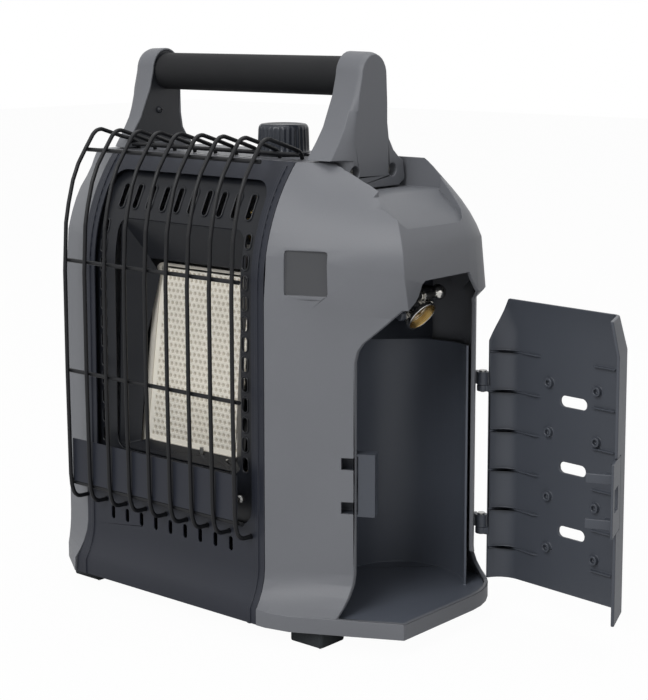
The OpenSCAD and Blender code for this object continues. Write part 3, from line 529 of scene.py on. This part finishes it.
def ceramicFinish(name):
    paint = Paint(name)
    across, _, up = inBurner(paint)
    cloud = paint.noise(plate["cloudScale"], detail=4, roughness=0.6)
    grit = paint.noise(plate["gritScale"], detail=2, roughness=0.6)
    inside = perforated(across, up)
    # painted shade: darker in the dimples and the holes
    pit = inside - inside * nearestDimple(across, up).eased(*plate["dimpleShade"])
    holes = inside - inside * staggered(across, up, *plate["holePitch"]).eased(*plate["hole"])
    tint = paint.mixed(cloud, *plate["pale"])
    tint = paint.mixed(holes * plate["holeShare"], tint, plate["holeColour"])
    tint = paint.mixed(pit * plate["dimpleShare"], tint, plate["dimpleColour"])
    # painted shade past the reflector's edge
    tint = paint.mixed(pastReflector(across), tint, plate["shadeColour"])
    height = grit * plate["grit"] - holes * plate["holeDepth"]
    return paint.finish({"Specular IOR Level": plate["gloss"]}, {
        "Base Color": tint,
        "Roughness": plate["roughness"] + (cloud - 0.5) * plate["patchyRoughness"],
        "Normal": paint.bump(height, plate["relief"], plate["reliefStrength"]),
    })


bezel = {
    "front": (0.0015, 0.0035),  # how far back the pale front fades to painted shade
    # painted shade down the bezel's sides
    "shadeColour": linear(20, 21, 25),
    "cloudScale": 30,
    "stainTint": 0.9,
    "peel": 0.00004,
    "peelStrength": 0.6,
    "roughness": 0.3,
    "patchyRoughness": 0.14,
    "gloss": 0.4,
}


def bezelFinish(name, colour):  # pale where it faces the room, with painted shade down its sides and past the reflector's edge
    paint = Paint(name)
    across, back, _ = inBurner(paint)
    cloud = paint.noise(bezel["cloudScale"], detail=3, roughness=0.5)
    orange = paint.noise(spray["peelScale"], detail=3, roughness=0.5)
    # painted shade: darker down the sides and past the reflector's edge
    inShade = back.eased(*bezel["front"]).most(pastReflector(across))
    tint = paint.mixed(cloud, scaled(colour, bezel["stainTint"]), colour)
    tint = paint.mixed(inShade, tint, bezel["shadeColour"])
    return paint.finish({"Specular IOR Level": bezel["gloss"]}, {
        "Base Color": tint,
        "Roughness": bezel["roughness"] + (cloud - 0.5) * bezel["patchyRoughness"],
        "Normal": paint.bump(orange, bezel["peel"], bezel["peelStrength"]),
    })


foam = {
    "cellScale": 2100,
    "cellHeight": 0.00018,
    "cellStrength": 0.6,
    "cloudScale": 30,
    "cloudHeight": 0.6,  # share of a cell's
    "darkTint": 0.65,
    "paleTint": 1.25,
    "roughness": 0.72,
    "patchyRoughness": 0.12,
    "gloss": 0.3,
}


def foamFinish(name, colour):
    paint = Paint(name)
    cells = paint.noise(foam["cellScale"], detail=3, roughness=0.7)
    cloud = paint.noise(foam["cloudScale"], detail=4, roughness=0.6)
    tint = paint.mixed(cells.eased(0.35, 0.7), scaled(colour, foam["darkTint"]),
                       scaled(colour, foam["paleTint"]))
    return paint.finish({"Specular IOR Level": foam["gloss"]}, {
        "Base Color": tint,
        "Roughness": foam["roughness"] + (cloud - 0.5) * foam["patchyRoughness"],
        "Normal": paint.bump(cells + cloud * foam["cloudHeight"], foam["cellHeight"],
                             foam["cellStrength"]),
    })


finishes = {
    "shell": mouldedPlastic("shellPlastic", linear(108, 110, 115), 0.46, pad=shadedBadgePad),
    "post": mouldedPlastic("postPlastic", linear(105, 107, 112), 0.48),
    "bay": mouldedPlastic("bayPlastic", linear(88, 93, 103), 0.42, **satin),
    "slate": mouldedPlastic("slatePlastic", linear(70, 74, 82), 0.4, **satin),
    # a darker plastic for the bay's ceiling: painted shade inside the shell above the liner
    "dark": mouldedPlastic("darkPlastic", linear(36, 39, 46), 0.5, **satin),
    "black": mouldedPlastic("blackPlastic", linear(42, 44, 49), 0.4, **satin),
    "knob": mouldedPlastic("knobPlastic", linear(44, 48, 56), 0.34, **satin),
    "porcelain": mouldedPlastic("glazedPorcelain", linear(225, 222, 212), 0.15, grain=0.00001),
    "paint": sprayedPaint("heatPaint", linear(36, 39, 48), 0.42),
    "inner": sprayedPaint("innerPaint", linear(27, 29, 34), 0.34),
    "louvre": sprayedPaint("louvrePaint", linear(104, 105, 110), 0.36),
    "wire": enamelWire("guardEnamel", linear(18, 19, 22)),
    "bright": polishedMetal("brightSheet", linear(222, 220, 214), 0.3, (1, 60, 60)),
    "nickel": polishedMetal("nickelPlate", linear(205, 203, 198), 0.16, evenly),
    "zinc": polishedMetal("zincPlate", linear(168, 168, 166), 0.32, evenly),
    "brass": polishedMetal("turnedBrass", linear(196, 166, 104), 0.28, evenly),
    "bezel": bezelFinish("bezelSheet", linear(222, 217, 206)),
    "ceramic": ceramicFinish("pressedCeramic"),
    "foam": foamFinish("foamSleeve", linear(17, 18, 21)),
    "rubber": foamFinish("footRubber", linear(46, 50, 53)),
}

nodeFinish = {
    "base_pan": "inner", "left_shell": "shell", "right_shell": "shell", "bay_liner": "bay",
    "bay_ceiling": "dark", "latch_receiver": "slate", "front_panel": "paint",
    "top_louvre": "louvre", "slotted_plate": "inner", "reflector": "inner", "tile_frame": "bezel",
    "tile_clips": "bright", "ceramic_tile": "ceramic", "tile_gasket": "inner",
    "burner_plenum": "inner", "heat_shield": "bright", "injector": "brass", "wire_guard": "wire",
    "guard_plate": "paint", "gas_valve": "brass", "valve_spring": "zinc", "thrust_washer": "zinc",
    "valve_stem": "zinc", "control_knob": "knob", "igniter": "black", "gas_tube": "brass",
    "pilot_tube": "brass", "pilot_burner": "zinc", "thermocouple": "zinc",
    "electrode": "porcelain", "gas_arm": "nickel", "regulator_body": "nickel",
    "regulator_cap": "slate", "regulator_insert": "brass", "left_post": "post",
    "right_post": "post", "left_post_cover": "black", "right_post_cover": "black",
    "handle_tube": "zinc", "grip": "foam", "hinge_brackets": "slate", "upper_hinge_pin": "zinc",
    "lower_hinge_pin": "zinc", "door": "slate", "door_latch": "slate",
    "foot_front_right": "rubber", "foot_front_left": "rubber", "foot_rear_right": "rubber",
    "foot_rear_left": "rubber", "tip_switch": "black", "tip_pendulum": "brass",
    "post_screws": "zinc", "cover_screws": "black", "panel_screws": "zinc", "foot_screws": "zinc",
}
for cadName, finishName in nodeFinish.items():
    dressed(cadNodes[cadName], finishes[finishName])


print("Wire guard")
guard = {
    "wireRadius": 0.00165,  # metres, as the bend
    "bendRadius": 0.009,
    "bendSteps": 4,
    "sides": 12,
    "count": 9,
    "pitch": 22.6,  # mm, as all below
    "middle": -41.2,
    "rearShift": 4.2,  # the first wire ends this much to the side
    "front": [(-82.4, 76), (-92, 76.4), (-96.5, 79.5), (-99, 87), (-100, 97), (-101.5, 180),
              (-102, 262), (-100, 300), (-97, 315), (-92, 333), (-86, 346), (-77.6, 358),
              (-70, 368.3), (-66, 371.5), (-61, 372.2), (-40, 365.6)],
    "rear": [(-34, 363.6), (-28, 361.6), (-23.5, 358.5), (-23.2, 354.9)],
    "bars": [(-95.82, 89), (-98.17, 181), (-98.22, 270), (-74.57, 356.4)],
    "barReach": 4,  # past the outer wires
    "rearBar": (-30, 358.65),
    "rearBarStart": 4.1,
}


def growGuard():
    points, edges = [], []

    def run(line):
        first = len(points)
        points.extend(line)
        edges.extend((first + i, first + i + 1) for i in range(len(line) - 1))

    left = guard["middle"] - guard["pitch"] * (guard["count"] - 1) / 2
    right = left + guard["pitch"] * (guard["count"] - 1)
    for i in range(guard["count"]):
        x = left + guard["pitch"] * i
        shift = guard["rearShift"] if i == 0 else 0
        run([(x, y, z) for y, z in guard["front"]] + [(x + shift, y, z) for y, z in guard["rear"]])
    for y, z in guard["bars"]:
        run([(left - guard["barReach"], y, z), (right + guard["barReach"], y, z)])
    y, z = guard["rearBar"]
    run([(left + guard["rearBarStart"], y, z), (right + guard["barReach"], y, z)])

    plan = Plan("bentWire", {"Wire radius": guard["wireRadius"], "Bend radius": guard["bendRadius"],
                             "Bend steps": guard["bendSteps"], "Sides": guard["sides"]},
                finishes["wire"])
    line = plan.add("GeometryNodeMeshToCurve", {}, {"Mesh": plan.given("Geometry")})
    bent = plan.add("GeometryNodeFilletCurve", {"mode": "POLY"},
                    {"Curve": line, "Count": plan.given("Bend steps"),
                     "Radius": plan.given("Bend radius"), "Limit Radius": True})
    ring = plan.add("GeometryNodeCurvePrimitiveCircle", {"mode": "RADIUS"},
                    {"Resolution": plan.given("Sides"), "Radius": plan.given("Wire radius")})
    tube = plan.add("GeometryNodeCurveToMesh", {},
                    {"Curve": bent, "Profile Curve": ring, "Fill Caps": True})
    piece = plan.grow(newPiece("guardWires", points, edges), tube)
    fixedOn(shaded(piece), "casing", "wire", "wire_guard")


growGuard()


print("Slot rims")
slotRims = {
    "sideSize": (0.0056, 0.0112),  # metres, as the top's size and the lip
    "topSize": (0.0055, 0.0206),
    "lip": 0.00075,
    "cornerShare": 0.56,
    "cornerSteps": 5,
    "sides": 8,
    "sideColumns": (-114.5, 39),  # mm, as all below
    "sideFirst": 128,
    "sideStep": 15.3,
    "sideCount": 12,
    "topMiddle": -34.5,
    "topStep": 15.2,
    "topCount": 10,
    "topHeight": 320.7,
    "plateY": -77,
    "curveZ": 262,
    "curveRadius": 132.5,
}


def onPlate(z):  # how far back the slotted plate is at a height, and its lean
    if z <= slotRims["curveZ"]:
        return slotRims["plateY"], 0.0
    lean = math.asin((z - slotRims["curveZ"]) / slotRims["curveRadius"])
    return slotRims["plateY"] + slotRims["curveRadius"] * (1 - math.cos(lean)), lean


def growRims(name, places, size):
    piece = newPiece(name, [(x, onPlate(z)[0], z) for x, z in places])
    turn = piece.data.attributes.new("turn", "FLOAT", "POINT")
    turn.data.foreach_set("value", [math.pi / 2 - onPlate(z)[1] for x, z in places])
    plan = Plan(name, {"Width": size[0], "Height": size[1], "Lip": slotRims["lip"],
                       "Corner share": slotRims["cornerShare"]}, finishes["inner"])
    width, height, lip = plan.given("Width"), plan.given("Height"), plan.given("Lip")
    box = plan.add("GeometryNodeCurvePrimitiveQuadrilateral", {"mode": "RECTANGLE"},
                   {"Width": width + lip, "Height": height + lip})
    oval = plan.add("GeometryNodeFilletCurve", {"mode": "POLY"},
                    {"Curve": box, "Count": slotRims["cornerSteps"],
                     "Radius": width * plan.given("Corner share"), "Limit Radius": True})
    ring = plan.add("GeometryNodeCurvePrimitiveCircle", {"mode": "RADIUS"},
                    {"Resolution": slotRims["sides"], "Radius": lip})
    rim = plan.add("GeometryNodeCurveToMesh", {}, {"Curve": oval, "Profile Curve": ring})
    lean = plan.add("GeometryNodeInputNamedAttribute", {"data_type": "FLOAT"}, {"Name": "turn"})
    facing = plan.add("FunctionNodeEulerToRotation", {}, {0: plan.joined(lean, 0.0, 0.0)})
    rims = plan.add("GeometryNodeInstanceOnPoints", {},
                    {"Points": plan.given("Geometry"), "Instance": rim, "Rotation": facing})
    fixedOn(shaded(plan.grow(piece, rims), sharp=60), "casing", "panel_paint")


def addRims():
    side = [(x, slotRims["sideFirst"] + slotRims["sideStep"] * i)
            for x in slotRims["sideColumns"] for i in range(slotRims["sideCount"])]
    middle = (slotRims["topCount"] - 1) / 2
    top = [(slotRims["topMiddle"] + slotRims["topStep"] * (i - middle), slotRims["topHeight"])
           for i in range(slotRims["topCount"])]
    growRims("sideSlotRims", side, slotRims["sideSize"])
    growRims("topSlotRims", top, slotRims["topSize"])


addRims()


print("Ceramic plate")


def ordered(parts, rule):  # the same order in each run, which an extrusion doesn't give
    rank = {part: i for i, part in enumerate(sorted(parts, key=rule))}
    parts.sort(key=rank.get)
    parts.index_update()


def growPlate():
    width, height = 2 * plate["halfWidth"], plate["high"] - plate["low"]
    plan = Plan("dimpledPlate", {"Width": width, "Height": height,
                                 "Columns": int(width / plate["step"]),
                                 "Rows": int(height / plate["step"]),
                                 "Dimple radius": plate["dimple"], "Depth": plate["depth"],
                                 "Floor share": plate["floorShare"]}, finishes["ceramic"])
    sheet = plan.add("GeometryNodeMeshGrid", {}, {
        "Size X": plan.given("Width"), "Size Y": plan.given("Height"),
        "Vertices X": plan.given("Columns"), "Vertices Y": plan.given("Rows")})
    across, up, _ = plan.parts(plan.add("GeometryNodeInputPosition"))
    up = up + (plate["low"] + plate["high"]) / 2
    radius = plan.given("Dimple radius")
    pit = 1 - nearestDimple(across, up).eased(radius * plan.given("Floor share"), radius)
    sunk = pit * perforated(across, up) * plan.given("Depth")
    face = plan.add("GeometryNodeSetPosition", {}, {
        "Geometry": sheet, "Position": plan.joined(across, plate["front"] + sunk, up)})
    piece = plan.grow(newPiece("ceramicPlate", [(0, 0, 0)]), face)

    # the dimpled face gets its sides and a flat back
    block = bmesh.new()
    block.from_mesh(piece.data)
    rim = [edge for edge in block.edges if edge.is_boundary]
    walls = bmesh.ops.extrude_edge_only(block, edges=rim)["geom"]
    back = {part for part in walls if isinstance(part, bmesh.types.BMVert)}
    for corner in back:
        corner.co.y = plate["front"] + plate["thick"]
    bmesh.ops.contextual_create(block, geom=[
        part for part in walls
        if isinstance(part, bmesh.types.BMEdge) and all(end in back for end in part.verts)])
    bmesh.ops.recalc_face_normals(block, faces=block.faces)
    ordered(block.verts, lambda corner: corner.co[:])
    ordered(block.edges, lambda edge: sorted(end.index for end in edge.verts))
    ordered(block.faces, lambda face: sorted(corner.index for corner in face.verts))
    block.to_mesh(piece.data)
    block.free()
    piece.data.transform(Matrix.Translation(plate["foot"])
                         @ Matrix.Rotation(-math.radians(plate["lean"]), 4, "X"))
    fixedOn(shaded(piece, sharp=50), "casing", "ceramic", "ceramic_tile")


growPlate()


print("Control knob")
knob = {
    "centre": (7, 3),  # mm, as the line
    "line": [(0, 345.4), (6.5, 345.4), (6.5, 356), (20, 356), (20.45, 356.4), (20.45, 357.2),
             (20.3, 357.6), (20.25, 359), (20.1, 363), (19.95, 368), (19.8, 372), (19.7, 374.5),
             (19.5, 376), (19, 377.2), (18.2, 378.2), (17.2, 378.8), (16, 379), (14.5, 378.9),
             (13.8, 378.4), (8, 378.2), (0, 378.2)],
    "flutes": 30,
    "stepsPerFlute": 8,
    "depth": 0.0008,  # metres, as all below
    "fluteLow": 0.3577,
    "fluteHigh": 0.3782,
    "lowFade": 0.0015,
    "highFade": 0.004,
    "leastRadius": 0.001,
}


def growKnob():
    points, faces = turned(knob["line"], knob["flutes"] * knob["stepsPerFlute"])
    piece = newPiece("flutedKnob", points, (), faces)
    plan = Plan("flutes", {"Flutes": float(knob["flutes"]), "Depth": knob["depth"],
                           "Low": knob["fluteLow"], "High": knob["fluteHigh"]}, finishes["knob"])
    low, high = plan.given("Low"), plan.given("High")
    x, y, z = plan.parts(plan.add("GeometryNodeInputPosition"))
    wave = 0.5 - 0.5 * (y.angle(x) * plan.given("Flutes")).cosine()
    grooved = z.eased(low, low + knob["lowFade"]) * (1 - z.eased(high - knob["highFade"], high))
    radius = (x * x + y * y) ** 0.5
    share = 1 - wave * grooved * plan.given("Depth") / radius.most(knob["leastRadius"])
    moved = plan.add("GeometryNodeSetPosition", {}, {
        "Geometry": plan.given("Geometry"), "Position": plan.joined(x * share, y * share, z)})
    plan.grow(piece, moved)
    piece.data.transform(Matrix.Translation(Vector((*knob["centre"], 0)) * mm))
    fixedOn(shaded(piece, sharp=50), "knob", "black_plastic", "control_knob")


growKnob()


print("Regulator thread")
thread = {
    "ball": (123, 32, 252.5),  # mm, as the next three
    "axisX": -14.3,
    "low": -9.2,
    "pin": [(0, -7), (0.9, -7), (1.3, -6.6), (1.3, -5), (1.9, -4.4), (1.9, -2.7), (0, -2.7)],
    "pinSteps": 16,
    "swing": 52.7,  # degrees that the mouth is swung out from straight down
    "turns": 5.0,
    "steps": 48,  # in each turn
    "sides": 6,
    "length": 0.0062,  # metres, as all below
    "radius": 0.0121,
    "ridge": 0.0005,
}


def growThread():
    plan = Plan("inletThread", {"Turns": thread["turns"], "Radius": thread["radius"],
                                "Length": thread["length"], "Ridge": thread["ridge"]},
                finishes["brass"])
    helix = plan.add("GeometryNodeCurveSpiral", {}, {
        "Resolution": thread["steps"], "Rotations": plan.given("Turns"),
        "Start Radius": plan.given("Radius"), "End Radius": plan.given("Radius"),
        "Height": plan.given("Length")})
    ring = plan.add("GeometryNodeCurvePrimitiveCircle", {"mode": "RADIUS"},
                    {"Resolution": thread["sides"], "Radius": plan.given("Ridge")})
    ridge = plan.add("GeometryNodeCurveToMesh", {},
                     {"Curve": helix, "Profile Curve": ring, "Fill Caps": True})
    lifted = plan.add("GeometryNodeTransform", {},
                      {"Geometry": ridge, "Translation": (0, 0, thread["low"] * mm)})
    both = plan.add("GeometryNodeJoinGeometry", {}, {"Geometry": [lifted, plan.given("Geometry")]})
    points, faces = turned(thread["pin"], thread["pinSteps"])
    piece = plan.grow(newPiece("inletThread", points, (), faces), both)
    piece.data.transform(Matrix.Translation(Vector(thread["ball"]) * mm)
                         @ Matrix.Rotation(-math.radians(thread["swing"]), 4, "Y")
                         @ Matrix.Translation(Vector((thread["axisX"], 0, 0)) * mm))
    fixedOn(shaded(piece, sharp=35), "regulator", "brass")


growThread()


# Visible parts get a small rounding on their edges, each on a copy of its node
print("Rounded edges")
rounding = {
    "widths": {  # mm
        "left_shell": 0.5, "right_shell": 0.5, "left_post": 0.7, "right_post": 0.7,
        "door": 0.7, "door_latch": 0.6, "latch_receiver": 0.5, "front_panel": 0.35,
        "slotted_plate": 0.35, "top_louvre": 0.5, "tile_frame": 0.4, "guard_plate": 0.25,
        "bay_liner": 0.6, "bay_ceiling": 0.6, "grip": 1.2, "foot_front_right": 1.2,
        "foot_front_left": 1.2, "foot_rear_right": 1.2, "foot_rear_left": 1.2,
        "regulator_body": 0.35, "regulator_cap": 0.3, "gas_arm": 0.4, "regulator_insert": 0.25,
        "reflector": 0.3,
    },
    "flatFaced": {"door", "front_panel", "slotted_plate", "tile_frame", "door_latch",
                  "top_louvre", "latch_receiver"},  # their triangles join into flats first
    "flat": 0.4,  # degrees
    "sharp": 45,
    "merge": 0.01,  # mm
    "segments": 2,
}


def roundedEdges(node, width):
    mesh = cadNodes[node].data.copy()
    skin = bmesh.new()
    skin.from_mesh(mesh)
    solid = BVHTree.FromBMesh(skin)
    bmesh.ops.remove_doubles(skin, verts=skin.verts, dist=rounding["merge"] * mm)
    if node in rounding["flatFaced"]:
        bmesh.ops.dissolve_limit(skin, angle_limit=math.radians(rounding["flat"]),
                                 verts=skin.verts, edges=skin.edges)
    skin.to_mesh(mesh)
    skin.free()
    piece = placed(node + "Rounded", mesh)
    mesh.shade_smooth()
    bevel = piece.modifiers.new("edges", "BEVEL")
    bevel.width = width * mm
    bevel.segments = rounding["segments"]
    bevel.limit_method = "ANGLE"
    bevel.angle_limit = math.radians(rounding["sharp"])
    bevel.use_clamp_overlap = False
    settled(piece)
    for corner in piece.data.vertices:  # a corner that ran past a narrow face goes back to it
        nearest, _, _, apart = solid.find_nearest(corner.co)
        if apart > width * mm:
            corner.co = nearest
    normals = piece.modifiers.new("normals", "WEIGHTED_NORMAL")
    normals.keep_sharp = True
    settled(piece)
    dressed(piece, finishes[nodeFinish[node]])
    fixedOn(piece, bodyOf[node], slotOf[node], node)


for node, width in rounding["widths"].items():
    roundedEdges(node, width)


print("Valve spring")


def addSpring():  # a copy of the valve spring with a mesh of its own
    piece = placed("valveSpring", cadNodes["valve_spring"].data.copy())
    dressed(piece, finishes["zinc"])
    fixedOn(piece, "casing", slotOf["valve_spring"], "valve_spring")
    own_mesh(piece)


addSpring()


print("Light and floor")
studio = {  # metres and watts
    "aim": (0.05, 0.0, 0.2),
    "lamps": {
        "keyLamp": {"place": (0.35, -2.35, 1.9), "size": 1.6, "power": 43.0},
        "fillLamp": {"place": (2.4, -0.7, 1.1), "size": 1.8, "power": 2.6},
        "topLamp": {"place": (0.1, 0.2, 2.4), "size": 1.8, "power": 18.0},
    },
    "worldLight": 0.3,
    "floorHalf": 6000,  # mm
    "floorColour": (0.86, 0.86, 0.86, 1),
    "floorGlow": 0.97,  # share of the floor that shows as white
}


def softLamp(name, place, size, power):
    data = bpy.data.lights.new(name, "AREA")
    data.shape = "DISK"
    data.size = size
    data.energy = power
    aimed(placed(name, data), place, Vector(studio["aim"]) - Vector(place))


def addSky():
    world = bpy.data.worlds.new("studio")
    bpy.context.scene.world = world
    world.use_nodes = True
    sky = Graph(world.node_tree)

    def ray(kind):
        return sky.add("ShaderNodeLightPath", {}, {}, kind)

    seen = ray("Is Camera Ray").most(ray("Is Glossy Ray")).most(ray("Is Transmission Ray"))
    plain = sky.add("ShaderNodeBackground", {}, {"Color": white, "Strength": studio["worldLight"]})
    bright = sky.add("ShaderNodeBackground", {}, {"Color": white, "Strength": 1.0})
    both = sky.add("ShaderNodeMixShader", {}, {0: seen, 1: plain, 2: bright})
    sky.add("ShaderNodeOutputWorld", {}, {"Surface": both})


def addFloor():
    half = studio["floorHalf"]
    corners = [(-half, -half, 0), (half, -half, 0), (half, half, 0), (-half, half, 0)]
    floor = newPiece("floor", corners, (), [(0, 1, 2, 3)])
    paint = Paint("paleFloor")
    seen = paint.add("ShaderNodeLightPath", {}, {}, "Is Camera Ray")
    glow = paint.add("ShaderNodeEmission", {}, {"Color": white, "Strength": 1.0})
    matt = paint.add("ShaderNodeBsdfDiffuse", {}, {"Color": studio["floorColour"]})
    both = paint.add("ShaderNodeMixShader", {}, {0: seen * studio["floorGlow"], 1: matt, 2: glow})
    dressed(floor, paint.surfaced(both))


for lampName, lampValues in studio["lamps"].items():
    softLamp(lampName, **lampValues)
addSky()
addFloor()
bpy.context.scene.view_settings.view_transform = "Standard"
